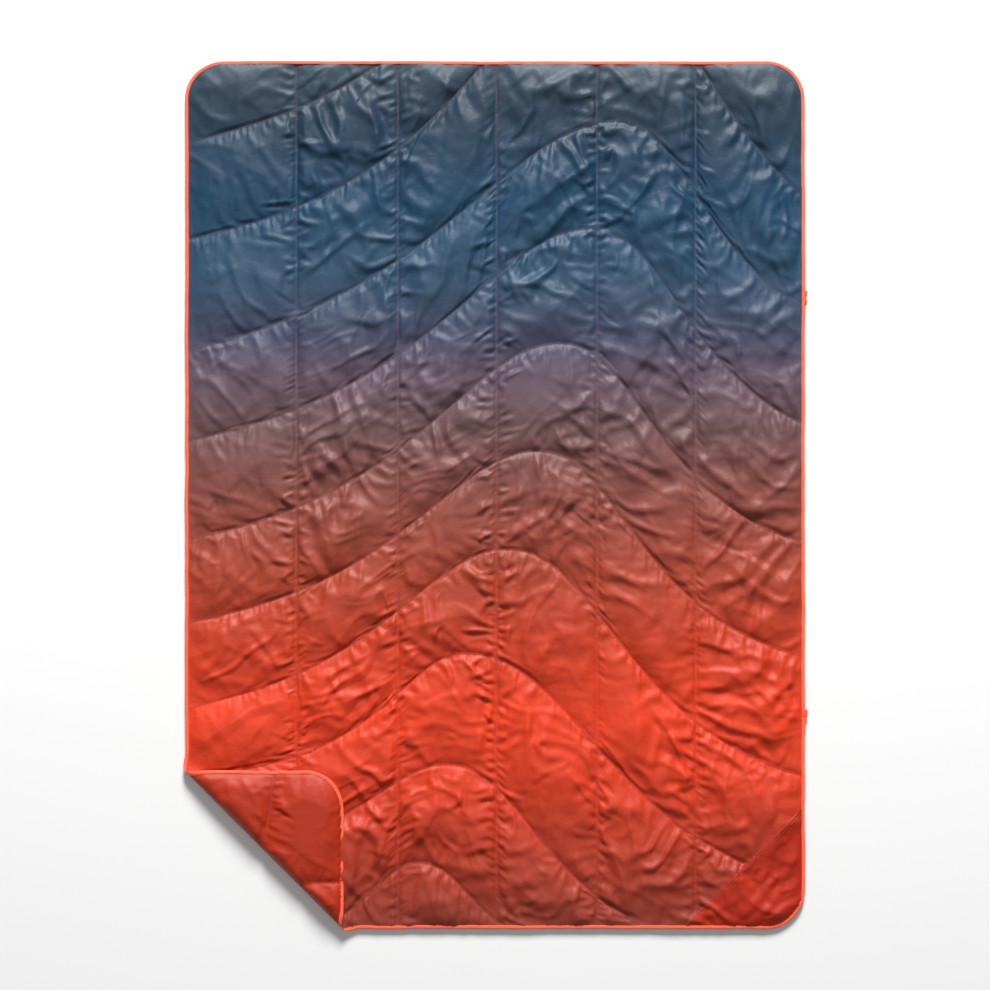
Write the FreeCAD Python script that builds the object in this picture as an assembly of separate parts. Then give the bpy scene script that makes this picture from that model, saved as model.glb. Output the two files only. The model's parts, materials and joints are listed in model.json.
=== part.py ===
import FreeCAD, Part
import math
import os

from FreeCAD import Vector

# Quilted camp blanket, lying face up on its flat underside, with its lower left corner folded over on top.
# Millimetres, +Z up. The origin is the centre of the underside. +Y runs along the length, towards the head.
# Everything is built flat. The corner beyond the fold line is then turned half a turn about that line.

# Blanket outline and layers
WIDTH = 1270.0                  # along X, over the binding
LENGTH = 1778.0                 # along Y, over the binding
CORNER_RADIUS = 80.0
LOFT = 18.0                     # shell to shell, between the quilting lines
SHELL = 0.5                     # thickness of each shell, also of the corner panel
SEAM_HEIGHT = 9.0               # mid height of the bound edge
FLANGE_CORE = 1.0               # insulation pressed flat inside the bound edge
TOP_SLOPE = 30.0                # width of the slope from the bound edge up to full loft
UNDER_SLOPE = 60.0              # width of the slope from the bound edge down to the underside

# Edge binding: a tape folded round the edge
BINDING_LEG = 8.0
BINDING_TAPE = 0.8

# Stitching
THREAD = 0.6                    # height of a thread above the cloth
THREAD_WIDTH = 1.0
THREAD_GAP = 0.15               # between a wave's thread and the column thread that it meets
BINDING_STITCH_INSET = 6.0      # from the outer edge
COLUMN_X = (-407.0, -199.0, 3.0, 209.0, 411.0)
WAVE_STEP = 12.0                # length of a wave thread's straight pieces, along X
LEFT_POWER = 2.0                # how the left flank of a wave falls
RIGHT_POWER = 2.4               # how the right flank falls
# crest X, crest Y, then how far the left flank falls in the end and the distance in which it falls
# half of that, then the same two for the right flank
WAVES = (
    (225.0, 1305.0, 690.0, 370.0, 400.0, 300.0),
    (210.0, 1075.0, 655.0, 365.0, 675.0, 305.0),
    (250.0, 766.0, 610.0, 480.0, 490.0, 227.0),
    (196.0, 546.0, 546.0, 417.0, 506.0, 250.0),
    (130.0, 311.0, 500.0, 374.0, 488.0, 253.0),
    (84.0, 90.0, 438.0, 354.0, 494.0, 263.0),
    (20.0, -111.0, 408.0, 328.0, 557.0, 310.0),
    (-68.0, -325.0, 289.0, 208.0, 579.0, 372.0),
    (-101.0, -553.0, 236.0, 238.0, 435.0, 251.0),
    (-159.0, -753.0, 212.0, 150.0, 222.0, 150.0),
)

# Corner panel, lower right: the corner cut off by a 45 degree line
PANEL_LEG = 255.0
PANEL_STITCH_INSET = 2.0        # stitch line, measured along the blanket's edges

# Folded corner, lower left: the fold line is X + Y = FOLD_SUM
FOLD_SUM = -1198.0
FOLD_CLEARANCE = 0.3            # between the two cut faces
FOLD_HEIGHT = LOFT + THREAD + 0.2

# Clip, tucked under the right edge, and the tape that holds it by its bar
CLIP_Y = 407.0
CLIP_LENGTH = 34.0
CLIP_WIDTH = 24.0
CLIP_THICKNESS = 4.4
CLIP_REACH = 5.7                # how far it stands beyond the edge
CLIP_RAIL = 5.35                # width of the two rail ends beside the tape
CLIP_BAR_OUT = 1.8              # bar centre beyond the edge
CLIP_BAR_RADIUS = 1.1
CLIP_BRIDGE = 4.0               # cross-member between the tape slot and the eye
CLIP_SLOT = 12.0                # tape slot, from the clip's outer end
CLIP_EYE_RIM = 4.0              # wall round the eye
CLIP_EYE_RADIUS = 2.5
CLIP_END_RADIUS = 6.0
CLIP_TAPE_WIDTH = 12.7
CLIP_TAPE = 0.7
CLIP_TAPE_CLEARANCE = 0.25
CLIP_TAPE_TAIL = 6.5            # sewn under the binding

# Gate: a sprung tongue in the eye's +Y rail
GATE_WIDTH = 3.4
GATE_THICKNESS = 3.4
GATE_CLEARANCE = 0.3
GATE_PIVOT_FROM_BRIDGE = 2.0
GATE_LENGTH = 9.0               # pivot to tip
GATE_NOSE_GAP = 0.5             # tip to hook nose

# Tape loop on the right edge
LOOP_Y = -447.0
LOOP_TAPE_WIDTH = 15.0
LOOP_TAPE = 0.8
LOOP_GAP = 0.8                  # between the edge and the ends of the bight
LOOP_REACH = 5.4
LOOP_INNER_HALF = 2.2           # half the inner height
LOOP_BEND_RADIUS = 0.5          # inside corner where the tape turns back

HALF_W = WIDTH / 2
HALF_L = LENGTH / 2
CORE_LOW = SEAM_HEIGHT - FLANGE_CORE / 2
CORE_HIGH = SEAM_HEIGHT + FLANGE_CORE / 2


def save(name, shape):
    """Write one node, with its volume as a quick check."""
    solids = shape.Solids
    shape = solids[0] if len(solids) == 1 else Part.makeCompound(solids)
    shape.exportStep("parts/" + name + ".step")
    print("%-26s %3d solids %12.1f mm3  valid %s" % (name, len(solids), shape.Volume, shape.isValid()))


def outline(inset, z):
    """The blanket's rounded rectangle as a wire, moved in from the outer edge."""
    w = HALF_W - inset
    h = HALF_L - inset
    r = CORNER_RADIUS - inset
    k = r * (1 - math.sqrt(0.5))
    edges = []
    for sx, sy, turn in ((1, 1, 1), (-1, 1, -1), (-1, -1, 1), (1, -1, -1)):
        on_side = Vector(sx * w, sy * (h - r), z)
        on_end = Vector(sx * (w - r), sy * h, z)
        middle = Vector(sx * (w - k), sy * (h - k), z)
        first, last = (on_side, on_end) if turn > 0 else (on_end, on_side)
        edges.append(Part.Arc(first, middle, last).toShape())
    corners = [(e.Vertexes[0].Point, e.Vertexes[-1].Point) for e in edges]
    straights = [Part.makeLine(corners[i][1], corners[(i + 1) % 4][0]) for i in range(4)]
    return Part.Wire([e for pair in zip(edges, straights) for e in pair])


def plate(inset, low, high):
    """A slab of the blanket's outline."""
    return Part.Face(outline(inset, low)).extrude(Vector(0, 0, high - low))


def pillow(lift):
    """The insulation's solid, raised by lift: full loft inside, thin at the bound edge."""
    sections = (
        (BINDING_LEG + UNDER_SLOPE, SHELL),
        (BINDING_LEG, CORE_LOW),
        (BINDING_LEG, CORE_HIGH),
        (BINDING_LEG + TOP_SLOPE, LOFT - SHELL),
    )
    body = Part.makeLoft([outline(inset, z + lift) for inset, z in sections], True, True)
    flange = plate(BINDING_TAPE, CORE_LOW + lift, CORE_HIGH + lift)
    return body.fuse(flange)


def layer_above(low, high):
    """A layer of cloth or thread that follows the top, from low to high above the insulation."""
    return pillow(high).cut(pillow(low))


def upright_edges(shape):
    """A box's vertical edges."""
    return [e for e in shape.Edges if abs(e.tangentAt(e.FirstParameter).z) > 0.99]


def prism(points, low, high):
    """A vertical prism on a polygon."""
    ring = [Vector(x, y, low) for x, y in points]
    return Part.Face(Part.makePolygon(ring + ring[:1])).extrude(Vector(0, 0, high - low))


def corner_prism(offset):
    """Everything beyond the fold line, moved further out by offset."""
    total = FOLD_SUM - offset * math.sqrt(2)
    x, y = -HALF_W - 10, -HALF_L - 10
    return prism([(x, y), (total - y, y), (x, total - x)], -10, LOFT + 10)


def box(x0, x1, y0, y1, z0, z1):
    return Part.makeBox(x1 - x0, y1 - y0, z1 - z0, Vector(x0, y0, z0))


def wave_height(wave, x):
    """The wave's Y at X: a crest with a bell-shaped flank on each side."""
    crest_x, crest_y, left_drop, left_reach, right_drop, right_reach = wave
    if x < crest_x:
        rise = ((crest_x - x) / left_reach) ** LEFT_POWER
        return crest_y - left_drop * rise / (1 + rise)
    rise = ((x - crest_x) / right_reach) ** RIGHT_POWER
    return crest_y - right_drop * rise / (1 + rise)


def ribbon(points, width=THREAD_WIDTH):
    """A vertical wall along a line of points, higher than the blanket."""
    half = width / 2
    left = []
    right = []
    for i, (x, y) in enumerate(points):
        x0, y0 = points[max(i - 1, 0)]
        x1, y1 = points[min(i + 1, len(points) - 1)]
        length = math.hypot(x1 - x0, y1 - y0)
        nx, ny = -(y1 - y0) / length * half, (x1 - x0) / length * half
        left.append((x + nx, y + ny))
        right.append((x - nx, y - ny))
    return prism(left + right[::-1], 0, LOFT + 5)


def wave_walls():
    """One wall per stretch of a wave that lies within the binding."""
    inside_x = HALF_W - BINDING_LEG
    inside_y = HALF_L - BINDING_LEG
    walls = []
    for wave in WAVES:
        count = int(2 * inside_x / WAVE_STEP)
        xs = [-inside_x + 2 * inside_x * i / count for i in range(count + 1)]
        run = []
        for x in xs + [None]:
            y = wave_height(wave, x) if x is not None else None
            if y is not None and abs(y) < inside_y + WAVE_STEP:
                run.append((x, y))
                continue
            if len(run) > 2:
                walls.append(ribbon(run))
            run = []
    return walls


def column_walls(width=THREAD_WIDTH):
    """One straight wall per column of stitching."""
    return [ribbon([(x, -HALF_L), (x, HALF_L)], width) for x in COLUMN_X]


def panel_prism(grow):
    """The corner panel's triangle in plan, its long side moved in by grow."""
    leg = PANEL_LEG + grow
    return prism([(HALF_W, -HALF_L), (HALF_W, -HALF_L + leg), (HALF_W - leg, -HALF_L)], -1, LOFT + 10)


def ring(inset, width, low, high):
    """A thin frame along the edge."""
    return plate(inset, low, high).cut(plate(inset + width, low - 1, high + 1))


def edge_binding():
    half = FLANGE_CORE / 2 + SHELL
    low, high = SEAM_HEIGHT - half, SEAM_HEIGHT + half
    tape = plate(0, low - BINDING_TAPE, high + BINDING_TAPE)
    tape = tape.cut(plate(BINDING_TAPE, low, high))
    return tape.cut(plate(BINDING_LEG, low - 5, high + 5))


def binding_thread():
    """One stitch line on each face of the binding."""
    half = FLANGE_CORE / 2 + SHELL + BINDING_TAPE
    top = SEAM_HEIGHT + half
    bottom = SEAM_HEIGHT - half
    upper = ring(BINDING_STITCH_INSET, THREAD_WIDTH, top, top + THREAD)
    lower = ring(BINDING_STITCH_INSET, THREAD_WIDTH, bottom - THREAD, bottom)
    return Part.makeCompound([upper, lower])


def turn_over(shape):
    """Half a turn about the fold line, which lays the corner on top of the blanket."""
    turned = shape.copy()
    turned.rotate(Vector(FOLD_SUM / 2, FOLD_SUM / 2, FOLD_HEIGHT), Vector(1, -1, 0), 180)
    return turned


def split_at_fold(shape):
    """The part that stays flat, and the corner, turned over."""
    gap = FOLD_CLEARANCE / 2
    return shape.cut(corner_prism(-gap)), turn_over(shape.common(corner_prism(gap)))


def quilting(walls, layer):
    """Threads: walls cut down to the thin layer on top of the shell."""
    return Part.makeCompound([s for wall in walls for s in wall.common(layer).Solids])


def clip_body():
    outer = HALF_W + CLIP_REACH
    inner = outer - CLIP_LENGTH
    half = CLIP_WIDTH / 2
    eye_outer = outer - CLIP_SLOT - CLIP_BRIDGE
    eye_half = half - CLIP_EYE_RIM
    body = box(inner, outer, CLIP_Y - half, CLIP_Y + half, 0, CLIP_THICKNESS)
    body = body.makeFillet(CLIP_END_RADIUS, [e for e in upright_edges(body) if e.Vertexes[0].X < inner + 1])
    body = body.makeFillet(CLIP_RAIL * 0.45, [e for e in upright_edges(body) if e.Vertexes[0].X > outer - 1])
    slot_half = half - CLIP_RAIL
    slot = box(outer - CLIP_SLOT, outer + 1, CLIP_Y - slot_half, CLIP_Y + slot_half, -1, CLIP_THICKNESS + 1)
    eye = box(inner + CLIP_EYE_RIM, eye_outer, CLIP_Y - eye_half, CLIP_Y + eye_half, -1, CLIP_THICKNESS + 1)
    eye = eye.makeFillet(CLIP_EYE_RADIUS, upright_edges(eye))
    pivot = gate_pivot()
    nose = pivot.x - GATE_LENGTH - GATE_NOSE_GAP
    gate_gap = box(nose, eye_outer, CLIP_Y + eye_half - 0.01, CLIP_Y + half + 1, -1, CLIP_THICKNESS + 1)
    bar = Part.makeCylinder(CLIP_BAR_RADIUS, 2 * slot_half + 2,
                            Vector(HALF_W + CLIP_BAR_OUT, CLIP_Y - slot_half - 1, CLIP_THICKNESS / 2),
                            Vector(0, 1, 0))
    return body.cut(slot).cut(eye).cut(gate_gap).fuse(bar).removeSplitter()


def gate_pivot():
    bridge = HALF_W + CLIP_REACH - CLIP_SLOT - CLIP_BRIDGE
    return Vector(bridge - GATE_PIVOT_FROM_BRIDGE, CLIP_Y + (CLIP_WIDTH - CLIP_EYE_RIM) / 2, 0)


def clip_gate():
    pivot = gate_pivot()
    half = GATE_WIDTH / 2
    low = (CLIP_THICKNESS - GATE_THICKNESS) / 2
    root = Part.makeCylinder(half, GATE_THICKNESS, Vector(pivot.x, pivot.y, low))
    tongue = box(pivot.x - GATE_LENGTH, pivot.x, pivot.y - half, pivot.y + half, low, low + GATE_THICKNESS)
    return root.fuse(tongue).removeSplitter()


def clip_tape():
    """A tape round the clip's bar, brought up to the edge and sewn under the binding."""
    half = CLIP_TAPE_WIDTH / 2
    inner_r = CLIP_BAR_RADIUS + CLIP_TAPE_CLEARANCE
    outer_r = inner_r + CLIP_TAPE
    bar_x = HALF_W + CLIP_BAR_OUT
    bar_z = CLIP_THICKNESS / 2
    under = SEAM_HEIGHT - FLANGE_CORE / 2 - SHELL - BINDING_TAPE
    start = Vector(bar_x, CLIP_Y - half, bar_z)
    sleeve = Part.makeCylinder(outer_r, CLIP_TAPE_WIDTH, start, Vector(0, 1, 0))
    left = bar_x - outer_r
    rise = box(left, left + 2 * CLIP_TAPE, CLIP_Y - half, CLIP_Y + half, bar_z, under)
    tail_inner = HALF_W - CLIP_TAPE_TAIL
    tail = box(tail_inner, left + 2 * CLIP_TAPE, CLIP_Y - half, CLIP_Y + half, under - CLIP_TAPE, under)
    hole = Part.makeCylinder(inner_r, CLIP_TAPE_WIDTH + 2, start - Vector(0, 1, 0), Vector(0, 1, 0))
    return sleeve.fuse([rise, tail]).cut(hole).removeSplitter()


def loop_tape():
    """The bight of a short tape loop: two legs, joined by a turn at the far end."""
    start = HALF_W + LOOP_GAP
    low = LOOP_Y - LOOP_TAPE_WIDTH / 2
    high = LOOP_Y + LOOP_TAPE_WIDTH / 2

    def block(first, last, half, radius):
        solid = box(first, last, low, high, SEAM_HEIGHT - half, SEAM_HEIGHT + half)
        bends = [e for e in solid.Edges
                 if abs(e.tangentAt(e.FirstParameter).y) > 0.99 and e.Vertexes[0].X > last - 0.1]
        return solid.makeFillet(radius, bends)

    end = HALF_W + LOOP_REACH
    tape = block(start, end, LOOP_INNER_HALF + LOOP_TAPE, LOOP_BEND_RADIUS + LOOP_TAPE)
    return tape.cut(block(HALF_W, end - LOOP_TAPE, LOOP_INNER_HALF, LOOP_BEND_RADIUS))


def main():
    os.makedirs("parts", exist_ok=True)

    core = pillow(0)
    front = pillow(SHELL).cut(core)
    back = pillow(-SHELL).cut(core)
    tape = clip_tape()
    within_binding = plate(BINDING_LEG, 0, LOFT + 5)
    open_top = layer_above(SHELL, SHELL + THREAD).common(within_binding)
    open_top = open_top.cut(panel_prism(THREAD_WIDTH))

    for name, shape in (
        ("front_shell", front),
        ("back_shell", back),
        ("insulation", core),
        ("edge_binding", edge_binding()),
        ("binding_thread", binding_thread().cut(tape)),
    ):
        flat, folded = split_at_fold(shape)
        save(name, flat)
        save("corner_" + name, folded)

    columns = quilting(column_walls(), open_top)
    crossings = Part.makeCompound(column_walls(THREAD_WIDTH + 2 * THREAD_GAP))
    waves = quilting(wave_walls(), open_top.cut(crossings))
    flat_columns, folded_columns = split_at_fold(columns)
    flat_waves, folded_waves = split_at_fold(waves)
    save("quilt_thread_columns", flat_columns)
    save("quilt_thread_waves", flat_waves)
    save("corner_quilt_thread", Part.makeCompound(folded_columns.Solids + folded_waves.Solids))

    panel = layer_above(SHELL, 2 * SHELL).common(within_binding)
    save("corner_panel", panel.common(panel_prism(0)))
    seam = panel_prism(-PANEL_STITCH_INSET).cut(panel_prism(-PANEL_STITCH_INSET - THREAD_WIDTH))
    seam_layer = layer_above(2 * SHELL, 2 * SHELL + THREAD).common(within_binding)
    save("panel_thread", seam.common(seam_layer))

    save("clip_tape", tape)
    save("clip_body", clip_body())
    save("clip_gate", clip_gate())
    save("loop_tape", loop_tape())


main()
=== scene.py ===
"""Quilted camp blanket, lying flat with its lower left corner folded over the front. Lengths are in metres.

Each cloth is made flat and `folded` then turns the corner over. In names and comments, z is a height over
the floor, n is how far a point is behind the middle of the binding, and across is its distance from the
fold line, negative on the corner's side.
"""
import json
import math

import bmesh
import bpy
import numpy as np
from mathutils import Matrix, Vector


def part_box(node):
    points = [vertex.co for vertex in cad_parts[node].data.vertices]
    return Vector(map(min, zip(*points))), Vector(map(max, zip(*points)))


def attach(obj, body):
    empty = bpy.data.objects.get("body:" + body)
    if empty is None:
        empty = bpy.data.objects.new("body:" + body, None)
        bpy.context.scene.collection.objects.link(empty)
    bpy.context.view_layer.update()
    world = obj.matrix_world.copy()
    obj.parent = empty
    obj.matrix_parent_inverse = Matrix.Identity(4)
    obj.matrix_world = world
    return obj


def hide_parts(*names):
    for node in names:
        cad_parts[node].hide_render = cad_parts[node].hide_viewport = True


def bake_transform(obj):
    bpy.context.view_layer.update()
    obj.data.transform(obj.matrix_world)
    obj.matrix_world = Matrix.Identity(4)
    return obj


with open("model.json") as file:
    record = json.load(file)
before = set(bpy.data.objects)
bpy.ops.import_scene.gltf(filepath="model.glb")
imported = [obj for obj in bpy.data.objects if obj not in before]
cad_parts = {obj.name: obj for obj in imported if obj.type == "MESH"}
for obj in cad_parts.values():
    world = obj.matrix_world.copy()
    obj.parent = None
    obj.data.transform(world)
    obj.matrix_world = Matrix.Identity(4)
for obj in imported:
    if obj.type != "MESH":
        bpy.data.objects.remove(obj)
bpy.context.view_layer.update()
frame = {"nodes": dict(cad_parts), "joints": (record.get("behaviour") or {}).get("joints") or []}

JOINTS = {joint["name"]: joint for joint in frame["joints"]}
TAPE_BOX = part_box("edge_binding")
HALF_W, HALF_L = TAPE_BOX[1][0], TAPE_BOX[1][1]
MID = (TAPE_BOX[0][2] + TAPE_BOX[1][2]) / 2
HINGE = JOINTS["corner_fold"]["pos_m"]
FOLD_SUM, HINGE_Z = HINGE[0] + HINGE[1], HINGE[2]
ROOT2 = math.sqrt(2)
FAR = 9.0  # farther than anything on the blanket

# The outline's corner radius, how far inside it the shells end, and the corner patch's legs.
CORNER_R = 0.080
CLOTH_INSET = 0.003
PANEL_LEG = 0.255
# The quilting: the straight seams' x, the waves, and the usual distance between two waves.
COLUMNS = np.array([-0.407, -0.199, 0.003, 0.209, 0.411])
# Each wave line: its crest's x and y, then how far and over what reach it falls to the left and to the right.
WAVES = (
    (0.225, 1.305, 0.690, 0.370, 0.400, 0.300), (0.210, 1.075, 0.655, 0.365, 0.675, 0.305),
    (0.250, 0.766, 0.610, 0.480, 0.490, 0.227), (0.196, 0.546, 0.546, 0.417, 0.506, 0.250),
    (0.130, 0.311, 0.500, 0.374, 0.488, 0.253), (0.084, 0.090, 0.438, 0.354, 0.494, 0.263),
    (0.020, -0.111, 0.408, 0.328, 0.557, 0.310), (-0.068, -0.325, 0.289, 0.208, 0.579, 0.372),
    (-0.101, -0.553, 0.236, 0.238, 0.435, 0.251), (-0.159, -0.753, 0.212, 0.150, 0.222, 0.150),
)
BAND = 0.200

# Heights of the front (z) and the back (n), at the seams and at the rim.
FRONT_SEAM_Z, FRONT_RIM_Z = 0.0072, 0.0094
BACK_SEAM_N, BACK_RIM_N = 0.0028, 0.0004
# How far the batt lifts a cell, how soon it does so from a seam and from the rim, and how much of the lift
# is one dome over the cell.
LOFT, SEAM_RISE, RIM_RISE = 0.0135, 0.030, 0.020
DOMED = 0.72
# The grid's step, the height of the crumples, and how far the cloth may slide sideways as it settles.
GRID_STEP = 0.004
CRUMPLE = 0.0066
SLIP = 0.0016
# The cloth settles in this many steps, over the first of which its spare length grows.
SETTLE_STEPS, GROW_STEPS = 240, 60
# The spare length everywhere, and what the thread adds beside a wave or a straight seam, over what reach.
SPARE, GATHER, WAVE_GATHER_REACH, COLUMN_GATHER_REACH = 0.010, 0.13, 0.020, 0.018

# The nose: how far it reaches from the fold line, where the back cloth is cut off under the blanket, and how
# far it stands out past the fold line, so that the front cloth stays behind it.
ROLL, ROLL_TUCK, NOSE_OUT = 0.022, 0.028, 0.0004
# Cuts snap to points this near. Points up to this far across count as the corner's, so that its cut edge
# turns over with it.
SNAP, ON_FOLD = 1e-6, 2e-5
# How far the folded corner's rim droops, how far inside the rim this shows, and how far from the nose it
# takes to do so.
FLAP_DROOP, DROOP_RIM, DROOP_REACH = 0.005, 0.050, 0.045
# The front cloth's ridge over the nose: how far over the hinge it is, how far its flat top and then its
# flanks reach each side, and how far the top reaches at the rim.
RIDGE_OVER, RIDGE_TOP, RIDGE_FLANK, NOSE_TOP = 0.0006, 0.004, 0.012, 0.0017
# The binding's pieces round each end of the fold reach this far along the edge each way.
TURN_REACH = 0.046
# How far the front stays below the hinge where the corner lies on it, and how far the back bulges.
PRESSED_UNDER, BACK_BULGE = 0.0008, 0.0086

# The binding's legs, the strip along the edge where the shells are flat between them, and how far from the
# binding's middle the shells are there at most.
TAPE_LEG, TAPE_STRIP, UNDER_TAPE = 0.0068, 0.0073, 0.0007
# The outline's step along the sides, its points round a corner, and how near a side a point is to be on it.
TAPE_STEP, TURN_POINTS, BESIDE_EDGE = 0.004, 36, 0.01
# A stitch's length, the gap after it and the thread's radius. Then how far the quilting stands out from the
# cloth, and how far from the fold line the back's stitches change pieces.
STITCH, STITCH_GAP, THREAD = 0.0030, 0.0011, 0.00055
SEAM_LIFT, BACK_SPLIT = 0.0002, 0.024


# ---- small helpers
def ease(t):
    t = np.clip(t, 0, 1)
    return t * t * (3 - 2 * t)


def rise(distance, reach):
    return 1 - np.exp(-np.maximum(distance, 0) / reach)


def wave_y(wave, x):
    crest_x, crest_y, left, left_reach, right, right_reach = wave
    left_power, right_power = 2.0, 2.4
    a = (np.maximum(crest_x - x, 0) / left_reach) ** left_power
    b = (np.maximum(x - crest_x, 0) / right_reach) ** right_power
    return crest_y - left * a / (1 + a) - right * b / (1 + b)


def edge_y(x, inset=0.0):
    """Half the blanket's length at x, with its rounded corners, this far inside the outline."""
    r = CORNER_R - inset
    d = np.clip(np.abs(x) - (HALF_W - inset - r), 0, r)
    return HALF_L - inset - r + np.sqrt(np.maximum(r * r - d * d, 0))


def edge_distance(x, y):
    """How far a point is inside the outline."""
    r = CORNER_R
    dx, dy = np.abs(x) - (HALF_W - r), np.abs(y) - (HALF_L - r)
    outside = np.hypot(np.maximum(dx, 0), np.maximum(dy, 0))
    return r - outside - np.minimum(np.maximum(dx, dy), 0)


def across_fold(x, y):
    return (x + y - FOLD_SUM) / ROOT2


def noise(shape, bumps, rng):
    """A smooth random field with about bumps[0] by bumps[1] bumps, mostly within -1..1."""
    a = rng.standard_normal((bumps[0] + 3, bumps[1] + 3))
    for axis, n in enumerate(shape):
        t = np.linspace(1, a.shape[axis] - 2.001, n)
        i = t.astype(int)
        f = (t - i).reshape([-1, 1] if axis == 0 else [1, -1])
        p, q, r, s = (np.take(a, i + k, axis) for k in (-1, 0, 1, 2))
        a = 0.5 * (2 * q + (r - p) * f + (2 * p - 5 * q + 4 * r - s) * f**2 + (3 * q - p - 3 * r + s) * f**3)
    return a


def patches(shape, bumps, rng, mean, spread, least, most):
    """A smooth random share about mean, within least..most."""
    return np.clip(mean + spread * noise(shape, bumps, rng), least, most)


def wobble(s, pitch, rng):
    """A smooth random curve over the distances s, with a bump about every pitch."""
    knots = rng.standard_normal(int(s.max() / pitch) + 5)
    t = s / pitch + 1
    i = t.astype(int)
    f = ease(t - i)
    return knots[i] * (1 - f) + knots[i + 1] * f


# ---- the fold
def folded(x, y, z, roll=False):
    """Takes points of the flat blanket to where the folded corner lies. roll is for the outer cloth and the
    binding, which go round the fold in a soft nose; the inner cloth turns sharply at the fold line."""
    along, across = (x - y) / ROOT2, across_fold(x, y)
    inside = edge_distance(x, y)
    d = np.abs(across)
    drop = FLAP_DROOP * (1 - ease(inside / DROOP_RIM)) * ease((-across - ROLL) / DROOP_REACH)
    up = np.where(across < ON_FOLD, 2 * HINGE_Z - z - drop, z)
    if roll:
        n = MID - z
        tape_share, tape_end = 0.3, 0.0015
        depth = ROLL + NOSE_OUT + tape_share * n * (1 - rise(inside - TAPE_LEG, tape_end))
        turn = math.pi / 2 * (1 - across / ROLL)
        near = d < ROLL
        d = np.where(near, ROLL - depth * np.sin(turn), d)
        up = np.where(near, HINGE_Z - (HINGE_Z - MID + n) * np.cos(turn), up)
    return np.stack([(along + d) / ROOT2 + FOLD_SUM / 2, (d - along) / ROOT2 + FOLD_SUM / 2, up], -1)


# ---- quilted cloth
def sheet_grid(step):
    """A grid over the blanket whose columns hold the straight seams and whose rows follow the waves.
    Gives x, y, the points on or past the outline, how domed each cell is there from 0 to 1, each row's
    wave (or -1), and the seam columns."""
    edges = [-HALF_W + CLOTH_INSET, *COLUMNS, HALF_W - CLOTH_INSET]
    counts = [max(2, round((b - a) / step)) for a, b in zip(edges, edges[1:])]
    spans = [np.linspace(a, b, n + 1)[:-1] for a, b, n in zip(edges, edges[1:], counts)]
    xs = np.concatenate(spans + [edges[-1:]])
    lines = np.array([wave_y(w, xs) for w in WAVES])
    past_head, past_foot = 0.22, 0.25
    lines = np.vstack([lines[:1] + past_head, lines, lines[-1:] - past_foot])
    per_band = round(BAND / step)
    t = np.arange((len(lines) - 1) * per_band + 1) / per_band
    i = np.minimum(t.astype(int), len(lines) - 2)
    f = (t - i)[:, None]
    y = lines[i] * (1 - f) + lines[i + 1] * f
    row_wave = np.full(len(t), -1)
    row_wave[per_band:-1:per_band] = np.arange(len(WAVES))
    x = np.repeat(xs[None], len(t), 0)
    limit = edge_y(x, CLOTH_INSET)
    past = np.abs(y) >= limit - 1e-9
    over = np.concatenate([np.arange(n) / n for n in counts] + [[0]])
    steep_down, steep_across = 0.9, 0.55
    dome = (4 * f * (1 - f)) ** steep_down * np.sin(math.pi * over)[None].clip(0) ** steep_across
    return x, np.clip(y, -limit, limit), past, dome, row_wave, np.cumsum(counts)[:-1]


def under_panel(x, y):
    return x - y > HALF_W + HALF_L - PANEL_LEG


def seam_distances(x, y):
    """Distance to the nearest straight seam, to the nearest wave, and to the wave just above."""
    to_column = np.abs(x[..., None] - COLUMNS).min(-1)
    to_wave, to_upper = np.full(x.shape, FAR), np.full(x.shape, FAR)
    for wave in WAVES:
        line = wave_y(wave, x[0])
        slope = np.gradient(line, x[0])
        off_sheet = np.where(np.abs(line) < edge_y(x[0], CLOTH_INSET), 1, 50)
        distance = off_sheet * np.abs(y - line) / np.sqrt(1 + slope**2)
        to_wave = np.minimum(to_wave, distance)
        to_upper = np.where(y <= line + 1e-6, np.minimum(to_upper, distance), to_upper)
    return to_column, to_wave, to_upper


def crease(x, y, centre, angle, half, width, height, bow, out):
    """Adds one crease to out: a ridge with a furrow beside it that fades towards both ends."""
    span = half + 3 * width
    lo, hi = np.searchsorted(x[0], [centre[0] - span, centre[0] + span])
    if hi <= lo:
        return
    dx, dy = x[:, lo:hi] - centre[0], y[:, lo:hi] - centre[1]
    s = (dx * math.cos(angle) + dy * math.sin(angle)) / half
    u = (dy * math.cos(angle) - dx * math.sin(angle) - bow * half * s * s) / width
    ending, crest, depth, beside, broad = 1.5, 1.4, 0.55, 1.7, 1.1
    fade = np.maximum(1 - s * s, 0) ** ending
    furrow = depth * np.exp(-(((u - beside) / broad) ** 2))
    out[:, lo:hi] += height * fade * (np.exp(-np.abs(u) ** crest) - furrow)


def lattice(u, v, rng):
    """Random values at any u and v, changing straight from one unit to the next."""
    size = 97
    table = rng.standard_normal((size, size))
    i, j = np.floor(u).astype(int), np.floor(v).astype(int)
    f, g = u - i, v - j
    at = lambda a, b: table[(i + a) % size, (j + b) % size]
    return (at(0, 0) * (1 - f) + at(1, 0) * f) * (1 - g) + (at(0, 1) * (1 - f) + at(1, 1) * f) * g


# Each family of crumples: its direction in degrees, the folds' length and width, and their strength.
CRUMPLES = (
    (-62, 0.105, 0.034, 1.0), (-25, 0.085, 0.030, 0.8), (38, 0.095, 0.032, 0.9),
    (78, 0.075, 0.026, 0.7), (10, 0.050, 0.020, 0.45), (-80, 0.045, 0.018, 0.45),
)
FULL_WIDTH = 0.032


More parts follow.
